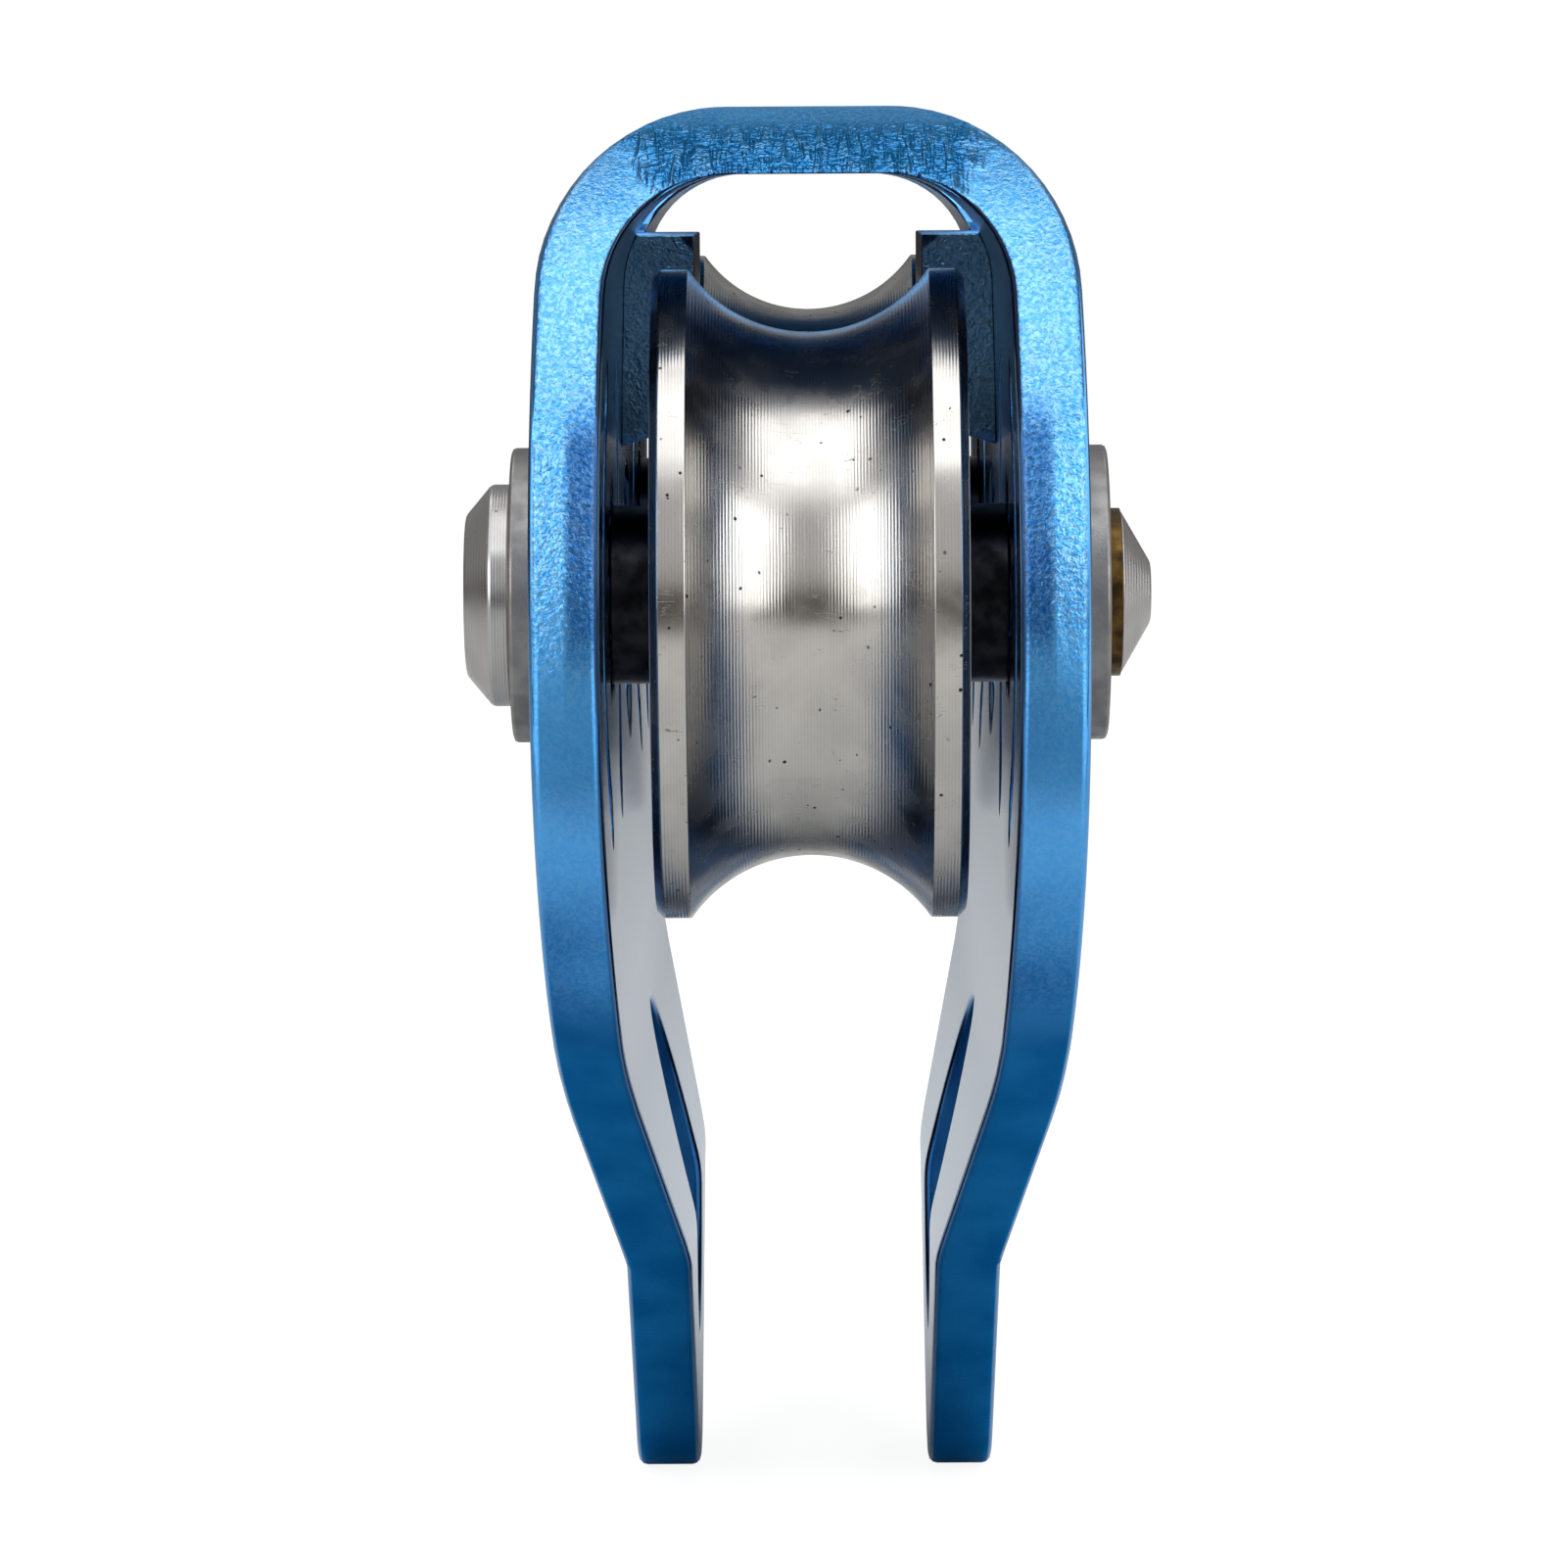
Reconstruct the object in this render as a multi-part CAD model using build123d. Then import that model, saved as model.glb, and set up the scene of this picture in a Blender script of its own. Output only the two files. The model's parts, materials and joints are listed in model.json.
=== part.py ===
from build123d import *
import math
import os

# Sizes are in millimetres. X runs across the pulley, Y along the cable and Z up.
# The origin is the centre of the carabiner eye.

# Body section, seen along the cable
PLATE_HALF_GAP = 11.45     # inside, at the axles, where the side plates stand widest apart
WALL = 3.9                 # the same all round the section
CROWN_TOP = 28.05          # top of the arches above the axles
OUTER_SHOULDER_R = 10.5
INNER_SHOULDER_R = 6.8
UPPER_BELLY_R = 600.0      # slight curve of the plates above the axles
LOWER_BELLY_R = 330.0      # and below them
BELLY_TURN = 4.2           # degrees that the plates lean in before the bend
BEND_R = 35.0
FLANK_TURN = 13.7          # degrees that the plates lean in above the legs
KNEE_R = 4.0
LEG_HALF_GAP = 7.15

# Side outline
LENGTH = 117.4
AXLE_INSET = 24.4          # from each end to its axle
AXLE_HEIGHT = 38.0         # above the carabiner eye
TIP_DEPTH = 18.9           # from the centre of the eye down to the leg tips
TIP_R = 14.0
FLANK_SLOPE = 35.0         # degrees below level of the two lower edges
CHIN_R = 20.0              # corner between the end face and the lower edge
END_R = 27.8               # the ends curve back to the top of the arches
ARCH_CORNER_R = 1.5        # at the saddle
SADDLE_LENGTH = 34.0       # open length between the two arches, at the top
SADDLE_FLOOR_LENGTH = 25.0
SADDLE_FLOOR = 20.5        # above the axles
SADDLE_R = 3.0
LIP_HALF_GAP = 6.9         # the saddle's edges turn in to this half gap
LIP_ROOT = 8.0             # where a lip leaves the plate, above the axles
LIP_THICKNESS = 11.5       # at its edge
LIP_LENGTH = 24.0

# Holes in the side plates
EYE_R = 10.5
CENTRE_HOLE_R = 8.5
CENTRE_HOLE_DROP = 2.0     # below the axles
WINDOW_INNER_R = 13.4      # crescent windows on both sides of each axle
WINDOW_OUTER_R = 17.4
WINDOW_SPAN = 100.0        # degrees between the centres of its two round ends
WASHER_SEAT_DEPTH = 0.15
SEAT_MARGIN = 0.5          # that a milled seat is wider than what it carries

# Sheave
SHEAVE_R = 18.7
SHEAVE_WIDTH = 17.8
GROOVE_DEPTH = 3.6
FLANGE_FLAT = 2.0
FLANGE_CHAMFER = 0.45

# Axle and what it carries
AXLE_R = 4.0
AXLE_CLEARANCE = 0.05      # to the holes in the side plates
HEAD_R = 6.4
HEAD_RIM = 1.2             # straight part of the head
HEAD_TAPER = 1.5
HEAD_END_R = 4.6
WASHER_R = 8.5
WASHER_THICKNESS = 1.9
WASHER_CHAMFER = 0.25
SPACER_R = 5.15
COLLAR_R = 4.85
COLLAR_WIDTH = 0.8
CLOSED_END_R = 4.75
CLOSED_END_TAPER = 1.75
CLOSED_END_TIP_R = 1.7

# Ball bearing, 8 x 22 x 7
BEARING_R = 11.0
BEARING_WIDTH = 7.0
BEARING_GAP = 2.8          # between the two bearings of a sheave
INNER_RING_R = 6.05
OUTER_RING_LAND_R = 9.0
BALL_R = 1.984
BALL_COUNT = 7
BALL_CLEARANCE = 0.046
SEAT_RIB_HEIGHT = 1.4      # rib between the bearings in the sheave's bore
SHIELD_THICKNESS = 0.3
SHIELD_RECESS = 0.3        # from the ring's face to the shield
SHIELD_LEDGE = 0.25
SHIELD_GAP = 0.15          # to the inner ring
CAGE_THICKNESS = 1.5       # in and out, around the ball centres
CAGE_BACK = 2.6            # from the ball centres to the closed side
CAGE_FRONT = 0.9
CAGE_CLEARANCE = 0.08
RING_CHAMFER = 0.3
BEARING_SPACER_R = 5.9

# Worked out from the sizes above
AXLE_SPACING = LENGTH - 2 * AXLE_INSET
OUTER_HALF_WIDTH = PLATE_HALF_GAP + WALL
WASHER_SEAT_X = OUTER_HALF_WIDTH - WASHER_SEAT_DEPTH
WASHER_FACE_X = WASHER_SEAT_X + WASHER_THICKNESS
BEARING_CENTRE_X = (BEARING_GAP + BEARING_WIDTH) / 2
BEARING_FACE_X = BEARING_GAP / 2 + BEARING_WIDTH
PITCH_R = (INNER_RING_R + OUTER_RING_LAND_R) / 2
RACE_R = BALL_R + BALL_CLEARANCE
CUT_REACH = 2 * LENGTH


def revolved(edges):
    """Turn a closed outline, drawn with X along the axle and Y as radius, about the axle."""
    return revolve(make_face(edges), Axis.X, 360)


def turned(points):
    """Turn a closed polygon of (x, radius) points about the axle."""
    return revolved(Polyline(*points, close=True))


def tube(inner_r, outer_r, x_from, x_to):
    """A plain ring about the axle."""
    return turned([(x_from, inner_r), (x_from, outer_r), (x_to, outer_r), (x_to, inner_r)])


def other_way(shape):
    """The left-hand twin of a right-hand piece, turned half round about the vertical."""
    return Rot(Z=180) * shape


def cylinder_across(radius, y, z):
    """A round cutter through both side plates."""
    circle = Plane.YZ * Pos(y, z) * Circle(radius)
    return extrude(circle, amount=CUT_REACH / 2, both=True)


def upper_curve(inset, top, shoulder_r):
    """One side of the section from the crown's middle down to the axle level."""
    radius = UPPER_BELLY_R - inset
    centre_x = OUTER_HALF_WIDTH - inset - radius
    lean = math.asin((top - shoulder_r) / (radius - shoulder_r))
    shoulder_x = centre_x + (radius - shoulder_r) * math.cos(lean)
    lean_degrees = math.degrees(lean)
    crown = Line((0, AXLE_HEIGHT + top), (shoulder_x, AXLE_HEIGHT + top))
    shoulder_centre = (shoulder_x, AXLE_HEIGHT + top - shoulder_r)
    shoulder = CenterArc(shoulder_centre, shoulder_r, lean_degrees, 90 - lean_degrees)
    belly = CenterArc((centre_x, AXLE_HEIGHT), radius, 0, lean_degrees)
    return [crown, shoulder, belly]


def flank_length():
    """The straight run between the bend and the knee that brings the plates in to the legs."""
    turn = math.radians(FLANK_TURN)
    belly_turn = math.radians(BELLY_TURN)
    inward = OUTER_HALF_WIDTH - LEG_HALF_GAP - WALL
    inward -= LOWER_BELLY_R * (1 - math.cos(belly_turn))
    inward -= BEND_R * (math.cos(belly_turn) - math.cos(turn))
    inward -= KNEE_R * (1 - math.cos(turn))
    return inward / math.sin(turn)


def lower_curve(inset, bottom):
    """One side of the section from the axle level down to the end of the leg."""
    belly = JernArc((OUTER_HALF_WIDTH - inset, AXLE_HEIGHT), (0, -1), LOWER_BELLY_R - inset, -BELLY_TURN)
    bend = JernArc(belly @ 1, belly % 1, BEND_R - inset, BELLY_TURN - FLANK_TURN)
    flank = Line(bend @ 1, (bend @ 1) + (bend % 1) * flank_length())
    knee = JernArc(flank @ 1, flank % 1, KNEE_R + inset, FLANK_TURN)
    leg = Line(knee @ 1, ((knee @ 1).X, bottom))
    return [belly, bend, flank, knee, leg]


def section():
    """The body's section: an arch, two slightly bellied plates and two straight legs."""
    bottom = -TIP_DEPTH - EYE_R
    outer = upper_curve(0, CROWN_TOP, OUTER_SHOULDER_R) + lower_curve(0, bottom)
    inner = upper_curve(WALL, CROWN_TOP - WALL, INNER_SHOULDER_R) + lower_curve(WALL, bottom)
    foot = Line(outer[-1] @ 1, inner[-1] @ 1)
    middle = Line(outer[0] @ 0, inner[0] @ 0)
    half = make_face(outer + [foot, middle] + inner)
    return half + mirror(half, Plane.YZ)


def side_outline():
    """The body seen from the side: level arches with rounded ends and a round-tipped V below."""
    half_length = LENGTH / 2
    slope = math.radians(FLANK_SLOPE)
    apex = -TIP_DEPTH - TIP_R * (1 / math.cos(slope) - 1)
    chin = apex + half_length * math.tan(slope)
    top = AXLE_HEIGHT + CROWN_TOP
    floor = AXLE_HEIGHT + SADDLE_FLOOR
    points = [
        (0, apex),
        (half_length, chin),
        (half_length, top),
        (SADDLE_LENGTH / 2, top),
        (SADDLE_FLOOR_LENGTH / 2, floor),
        (-SADDLE_FLOOR_LENGTH / 2, floor),
        (-SADDLE_LENGTH / 2, top),
        (-half_length, top),
        (-half_length, chin),
    ]
    radii = [
        TIP_R,
        CHIN_R,
        END_R,
        ARCH_CORNER_R,
        SADDLE_R,
        SADDLE_R,
        ARCH_CORNER_R,
        END_R,
        CHIN_R,
    ]
    return make_face(FilletPolyline(*points, radius=radii, close=True))


def channel():
    """The section cut to the side outline."""
    bar = extrude(Plane.XZ.offset(-LENGTH) * section(), amount=2 * LENGTH)
    sheet = extrude(Plane.YZ.offset(-LENGTH) * side_outline(), amount=2 * LENGTH)
    return bar & sheet


def lip():
    """The right edge of the saddle, turned in towards the middle."""
    top = AXLE_HEIGHT + SADDLE_FLOOR
    root = AXLE_HEIGHT + LIP_ROOT
    wall_x = PLATE_HALF_GAP + WALL / 2
    points = [(wall_x, root - 1), (PLATE_HALF_GAP - 1, root)]
    points += [(LIP_HALF_GAP, top - LIP_THICKNESS), (LIP_HALF_GAP, top), (wall_x, top)]
    profile = Plane.XZ * make_face(Polyline(*points, close=True))
    return extrude(profile, amount=LIP_LENGTH / 2, both=True)


def window(y, turn):
    """A crescent window beside an axle, with round ends."""
    middle_r = (WINDOW_INNER_R + WINDOW_OUTER_R) / 2
    path = CenterArc((0, 0), middle_r, turn - WINDOW_SPAN / 2, WINDOW_SPAN)
    shape = SlotArc(path, WINDOW_OUTER_R - WINDOW_INNER_R)
    return extrude(Plane.YZ * Pos(y, AXLE_HEIGHT) * shape, amount=CUT_REACH / 2, both=True)


def body():
    """The one-piece body."""
    shape = channel()
    shape += lip()
    shape += mirror(lip(), Plane.YZ)
    shape -= cylinder_across(EYE_R, 0, 0)
    shape -= cylinder_across(CENTRE_HOLE_R, 0, AXLE_HEIGHT - CENTRE_HOLE_DROP)
    for y in (-AXLE_SPACING / 2, AXLE_SPACING / 2):
        shape -= window(y, 0)
        shape -= window(y, 180)
        shape -= cylinder_across(AXLE_R + AXLE_CLEARANCE, y, AXLE_HEIGHT)
        place = Pos(0, y, AXLE_HEIGHT)
        shape -= place * tube(0, SPACER_R + SEAT_MARGIN, -PLATE_HALF_GAP, PLATE_HALF_GAP)
        washer_seat = tube(0, WASHER_R + SEAT_MARGIN, WASHER_SEAT_X, WASHER_SEAT_X + WALL)
        shape -= place * washer_seat
        shape -= place * mirror(washer_seat, Plane.YZ)
    return shape


def sheave():
    """A wheel with a round groove and a bore that seats a bearing from each side."""
    side = SHEAVE_WIDTH / 2
    mouth = side - FLANGE_FLAT
    rib = BEARING_GAP / 2
    rim = [(-side, BEARING_R), (-side, SHEAVE_R - FLANGE_CHAMFER)]
    rim += [(-side + FLANGE_CHAMFER, SHEAVE_R), (-mouth, SHEAVE_R)]
    bore = [(side, BEARING_R), (rib, BEARING_R), (rib, BEARING_R - SEAT_RIB_HEIGHT)]
    bore += [(-rib, BEARING_R - SEAT_RIB_HEIGHT), (-rib, BEARING_R), (-side, BEARING_R)]
    other_rim = [(-x, r) for x, r in reversed(rim)]
    groove = ThreePointArc((-mouth, SHEAVE_R), (0, SHEAVE_R - GROOVE_DEPTH), (mouth, SHEAVE_R))
    return revolved([Polyline(*rim), groove, Polyline(*other_rim), Polyline(*bore)])


def axle():
    """A pin with a turned head on the left, closed over its collar on the right."""
    head_x = -WASHER_FACE_X
    end_x = WASHER_FACE_X + COLLAR_WIDTH
    points = [(head_x - HEAD_RIM - HEAD_TAPER, 0), (head_x - HEAD_RIM - HEAD_TAPER, HEAD_END_R)]
    points += [(head_x - HEAD_RIM, HEAD_R), (head_x, HEAD_R), (head_x, AXLE_R)]
    points += [(end_x, AXLE_R), (end_x, CLOSED_END_R)]
    points += [(end_x + CLOSED_END_TAPER, CLOSED_END_TIP_R), (end_x + CLOSED_END_TAPER, 0)]
    return turned(points)


def washer():
    """The washer on the right, with both rims broken."""
    inside = WASHER_R - WASHER_CHAMFER
    points = [(WASHER_SEAT_X, AXLE_R), (WASHER_SEAT_X, inside)]
    points += [(WASHER_SEAT_X + WASHER_CHAMFER, WASHER_R), (WASHER_FACE_X - WASHER_CHAMFER, WASHER_R)]
    points += [(WASHER_FACE_X, inside), (WASHER_FACE_X, AXLE_R)]
    return turned(points)


def outer_ring():
    """A bearing's outer ring about its own middle, with its race and two shield ledges."""
    half = BEARING_WIDTH / 2
    ledge = half - SHIELD_RECESS - SHIELD_THICKNESS
    ledge_r = OUTER_RING_LAND_R + SHIELD_LEDGE
    race_x = math.sqrt(RACE_R**2 - (OUTER_RING_LAND_R - PITCH_R) ** 2)
    right = [(race_x, OUTER_RING_LAND_R), (ledge, OUTER_RING_LAND_R), (ledge, ledge_r), (half, ledge_r)]
    right += [(half, BEARING_R - RING_CHAMFER), (half - RING_CHAMFER, BEARING_R)]
    left = [(-x, r) for x, r in reversed(right)]
    race = ThreePointArc(left[-1], (0, PITCH_R + RACE_R), right[0])
    return revolved([Polyline(*right, *left), race])


def inner_ring():
    """A bearing's inner ring about its own middle, with its race."""
    half = BEARING_WIDTH / 2
    race_x = math.sqrt(RACE_R**2 - (PITCH_R - INNER_RING_R) ** 2)
    right = [(race_x, INNER_RING_R), (half, INNER_RING_R), (half, AXLE_R + RING_CHAMFER)]
    right += [(half - RING_CHAMFER, AXLE_R)]
    left = [(-x, r) for x, r in reversed(right)]
    race = ThreePointArc(left[-1], (0, PITCH_R - RACE_R), right[0])
    return revolved([Polyline(*right, *left), race])


def around_pitch(shape):
    """Copies of a shape, one at each ball's place."""
    step = 360 / BALL_COUNT
    return [Rot(X=step * index) * Pos(0, 0, PITCH_R) * shape for index in range(BALL_COUNT)]


def balls():
    """A bearing's balls, each a solid of its own."""
    return Compound(children=around_pitch(Sphere(BALL_R)))


def cage():
    """A moulded crown that keeps the balls apart, closed on its back."""
    half = CAGE_THICKNESS / 2
    crown = tube(PITCH_R - half, PITCH_R + half, -CAGE_BACK, CAGE_FRONT)
    for pocket in around_pitch(Sphere(BALL_R + CAGE_CLEARANCE)):
        crown -= pocket
    return crown


def shield():
    """The thin shield on a bearing's right face."""
    outside = BEARING_WIDTH / 2 - SHIELD_RECESS
    inner_r = INNER_RING_R + SHIELD_GAP
    return tube(inner_r, OUTER_RING_LAND_R + SHIELD_LEDGE, outside - SHIELD_THICKNESS, outside)


def bearing_parts(name):
    """The named pieces of one bearing about its own middle."""
    return {
        f"{name}_outer_ring": outer_ring(),
        f"{name}_inner_ring": inner_ring(),
        f"{name}_balls": balls(),
        f"{name}_cage": cage(),
        f"{name}_outer_shield": shield(),
        f"{name}_inner_shield": other_way(shield()),
    }


def wheel_set(name, y):
    """Everything on one axle, placed at that axle."""
    spacer = tube(AXLE_R, SPACER_R, BEARING_FACE_X, PLATE_HALF_GAP)
    parts = {
        f"{name}_sheave": sheave(),
        f"{name}_axle": axle(),
        f"{name}_right_washer": washer(),
        f"{name}_left_washer": other_way(washer()),
        f"{name}_right_spacer": spacer,
        f"{name}_left_spacer": other_way(spacer),
        f"{name}_collar": tube(AXLE_R, COLLAR_R, WASHER_FACE_X, WASHER_FACE_X + COLLAR_WIDTH),
        f"{name}_bearing_spacer": tube(AXLE_R, BEARING_SPACER_R, -BEARING_GAP / 2, BEARING_GAP / 2),
    }
    for side_name, side in (("right", 1), ("left", -1)):
        for node, shape in bearing_parts(f"{name}_{side_name}_bearing").items():
            piece = shape if side > 0 else other_way(shape)
            parts[node] = Pos(side * BEARING_CENTRE_X, 0, 0) * piece
    return {node: Pos(0, y, AXLE_HEIGHT) * shape for node, shape in parts.items()}


def main():
    """Build every piece and write it to its own file."""
    parts = {"body": body()}
    parts.update(wheel_set("front", -AXLE_SPACING / 2))
    parts.update(wheel_set("rear", AXLE_SPACING / 2))
    os.makedirs("parts", exist_ok=True)
    for node, shape in parts.items():
        export_step(shape, f"parts/{node}.step")
        print(node, round(shape.volume, 2))


main()
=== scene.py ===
"""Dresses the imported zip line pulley: a blue anodised body, turned steel wheels and their hardware."""

import json
import logging
import math
from dataclasses import dataclass, field
from enum import Enum
from typing import Any, Iterable, Union

import bmesh
import bpy
from mathutils import Euler, Matrix, Vector


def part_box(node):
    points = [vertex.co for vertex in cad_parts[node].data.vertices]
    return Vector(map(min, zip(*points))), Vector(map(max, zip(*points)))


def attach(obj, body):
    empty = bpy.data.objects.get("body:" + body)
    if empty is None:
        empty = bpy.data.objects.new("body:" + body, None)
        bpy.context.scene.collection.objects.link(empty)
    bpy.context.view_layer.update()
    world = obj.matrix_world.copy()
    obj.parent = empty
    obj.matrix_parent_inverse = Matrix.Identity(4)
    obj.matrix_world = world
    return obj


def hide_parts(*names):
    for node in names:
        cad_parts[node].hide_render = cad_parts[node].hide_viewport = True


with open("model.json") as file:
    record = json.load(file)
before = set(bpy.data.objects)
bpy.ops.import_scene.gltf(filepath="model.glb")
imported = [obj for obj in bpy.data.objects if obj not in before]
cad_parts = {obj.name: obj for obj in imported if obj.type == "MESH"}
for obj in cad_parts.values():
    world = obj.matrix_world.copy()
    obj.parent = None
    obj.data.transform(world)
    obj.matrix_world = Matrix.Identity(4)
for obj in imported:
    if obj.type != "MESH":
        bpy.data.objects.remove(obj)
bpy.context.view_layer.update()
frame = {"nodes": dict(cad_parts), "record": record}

log = logging.getLogger("zip_line_pulley")

MM = 0.001
PER_MM = 1.0 / MM
AXIS = Vector((1.0, 0.0, 0.0))
SPIN_STEPS = 192
WELD_DISTANCE = 1e-6

Colour = tuple[float, float, float]
Range = tuple[float, float]
Number = Union[float, "Signal"]

WHITE = (1.0, 1.0, 1.0, 1.0)


class Side(Enum):
    """The two sides of the pulley, by the sign of X."""

    LEFT = -1
    RIGHT = 1


class End(Enum):
    """The two wheels of the pulley, by the names that their nodes start with."""

    FRONT = "front"
    REAR = "rear"


@dataclass(frozen=True)
class Signal:
    """One output socket of a shader, with arithmetic on its value."""

    graph: "Graph"
    socket: bpy.types.NodeSocket

    def maths(self, operation: str, *others: Number) -> "Signal":
        """Add a Math node that takes this value first.

        Args:
            operation: The Math node's operation.
            others: The values or signals that follow this one.

        Returns:
            The node's value.
        """
        inputs = {0: self}
        inputs.update({index + 1: other for index, other in enumerate(others)})
        return self.graph.node("ShaderNodeMath", {"operation": operation}, inputs)

    def __add__(self, other: Number) -> "Signal":
        """This value plus another."""
        return self.maths("ADD", other)

    def __radd__(self, other: float) -> "Signal":
        """A number plus this value."""
        return self.maths("ADD", other)

    def __sub__(self, other: Number) -> "Signal":
        """This value less another."""
        return self.maths("SUBTRACT", other)

    def __rsub__(self, other: float) -> "Signal":
        """A number less this value."""
        return (self * -1.0) + other

    def __mul__(self, other: Number) -> "Signal":
        """This value times another."""
        return self.maths("MULTIPLY", other)

    def __abs__(self) -> "Signal":
        """This value without its sign."""
        return self.maths("ABSOLUTE")

    def at_least(self, low: Number) -> "Signal":
        """The greater of this value and another."""
        return self.maths("MAXIMUM", low)

    def between(self, low: float, high: float) -> "Signal":
        """A smooth step of this value.

        Args:
            low: The value at which the step starts.
            high: The value at which the step ends; a lower one than `low` gives a falling step.

        Returns:
            A signal from 0 to 1.
        """
        if low > high:
            return 1.0 - self.between(high, low)
        settings = {"interpolation_type": "SMOOTHSTEP"}
        return self.graph.node("ShaderNodeMapRange", settings, {0: self, 1: low, 2: high})


class Graph:
    """The shader nodes of one material or world."""

    def __init__(self, owner: Union[bpy.types.Material, bpy.types.World]) -> None:
        """Start with no nodes.

        Args:
            owner: The material or world that the nodes are for.
        """
        self.owner = owner
        owner.use_nodes = True
        self.tree = owner.node_tree
        self.tree.nodes.clear()

    @classmethod
    def of_material(cls, name: str) -> "Graph":
        """The graph of a new material."""
        return cls(bpy.data.materials.new(name))

    def node(self, kind: str, settings: dict[str, Any], inputs: dict[Any, Any], output: Any = 0) -> Signal:
        """Add a node.

        Args:
            kind: The node's type name.
            settings: Its properties, set before its sockets. "stops" fills a colour ramp.
            inputs: Its sockets by name or number, each with a value or a signal.
            output: The output socket's name or number.

        Returns:
            The chosen output.
        """
        made = self.tree.nodes.new(kind)
        for key, value in settings.items():
            if key == "stops":
                self._fill_ramp(made.color_ramp, value)
            else:
                setattr(made, key, value)
        for key, value in inputs.items():
            if isinstance(value, Signal):
                self.tree.links.new(value.socket, made.inputs[key])
            else:
                made.inputs[key].default_value = value
        return Signal(self, made.outputs[output])

    @staticmethod
    def _fill_ramp(ramp: bpy.types.ColorRamp, stops: Iterable[tuple[float, Colour]]) -> None:
        """Set a ramp's stops.

        Args:
            ramp: The ramp.
            stops: Two or more positions, each with its colour.
        """
        stops = list(stops)
        while len(ramp.elements) < len(stops):
            ramp.elements.new(1.0)
        for element, (position, colour) in zip(ramp.elements, stops):
            element.position = position
            element.color = (*colour, 1.0)

    def position(self) -> tuple[Signal, Signal, Signal]:
        """Read the surface point.

        Returns:
            Its three coordinates in millimetres in the part's own frame.
        """
        place = self.node("ShaderNodeTexCoord", {}, {}, "Object")
        axes = [self.node("ShaderNodeSeparateXYZ", {}, {0: place}, name) for name in "XYZ"]
        return tuple(axis * PER_MM for axis in axes)

    def facing(self) -> tuple[Signal, Signal, Signal]:
        """The surface's outward direction in the part's own frame."""
        normal = self.node("ShaderNodeTexCoord", {}, {}, "Normal")
        return tuple(self.node("ShaderNodeSeparateXYZ", {}, {0: normal}, name) for name in "XYZ")

    def vector(self, x: Number, y: Number, z: Number) -> Signal:
        """Three values as one vector."""
        return self.node("ShaderNodeCombineXYZ", {}, {0: x, 1: y, 2: z})

    def noise(self, place: Signal, scale: float, detail: float = 2.0, distortion: float = 0.0) -> Signal:
        """A smooth noise.

        Args:
            place: Where it is read, in millimetres.
            scale: Its features per millimetre.
            detail: How many finer layers it has.
            distortion: How far its features are bent.

        Returns:
            A signal from 0 to 1, mostly near a half.
        """
        inputs = {"Vector": place, "Scale": scale, "Detail": detail, "Distortion": distortion}
        return self.node("ShaderNodeTexNoise", {}, inputs, "Fac")

    def cells(self, place: Signal, scale: float) -> Signal:
        """The distance to the nearest of scattered points.

        Args:
            place: Where it is read, in millimetres.
            scale: The points per millimetre.

        Returns:
            The distance, in units of the points' spacing.
        """
        return self.node("ShaderNodeTexVoronoi", {}, {"Vector": place, "Scale": scale}, "Distance")

    def blend(self, amount: Number, first: Union[Colour, Signal], second: Union[Colour, Signal]) -> Signal:
        """A colour between two others.

        Args:
            amount: 0 for the first and 1 for the second.
            first: A colour.
            second: Another colour.

        Returns:
            The blended colour.
        """
        colours = [value if isinstance(value, Signal) else (*value, 1.0) for value in (first, second)]
        inputs = {0: amount, 6: colours[0], 7: colours[1]}
        return self.node("ShaderNodeMix", {"data_type": "RGBA"}, inputs, 2)

    def bump(self, height: Signal) -> Signal:
        """A surface relief from a height in millimetres.

        Args:
            height: The relief.

        Returns:
            The bent normal.
        """
        return self.node("ShaderNodeBump", {}, {"Height": height, "Distance": MM, "Strength": 1.0})

    def surface(self, inputs: dict[str, Any]) -> bpy.types.Material:
        """Finish the material with one Principled shader.

        Args:
            inputs: The shader's sockets.

        Returns:
            The finished material.
        """
        self.finish(self.node("ShaderNodeBsdfPrincipled", {}, inputs), "ShaderNodeOutputMaterial")
        return self.owner

    def finish(self, shader: Signal, output: str) -> None:
        """Send a shader to the output node of that type."""
        made = self.tree.nodes.new(output)
        self.tree.links.new(shader.socket, made.inputs["Surface"])


@dataclass(frozen=True)
class Zones:
    """Where a point lies on the body: 1 inside a zone and 0 outside it. Two values are in millimetres."""

    height: Signal
    across: Signal
    end_face: Signal
    low: Signal
    cheek: Signal
    arch: Signal
    crown: Signal
    hollow: Signal
    under: Signal
    inside: Signal


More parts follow.
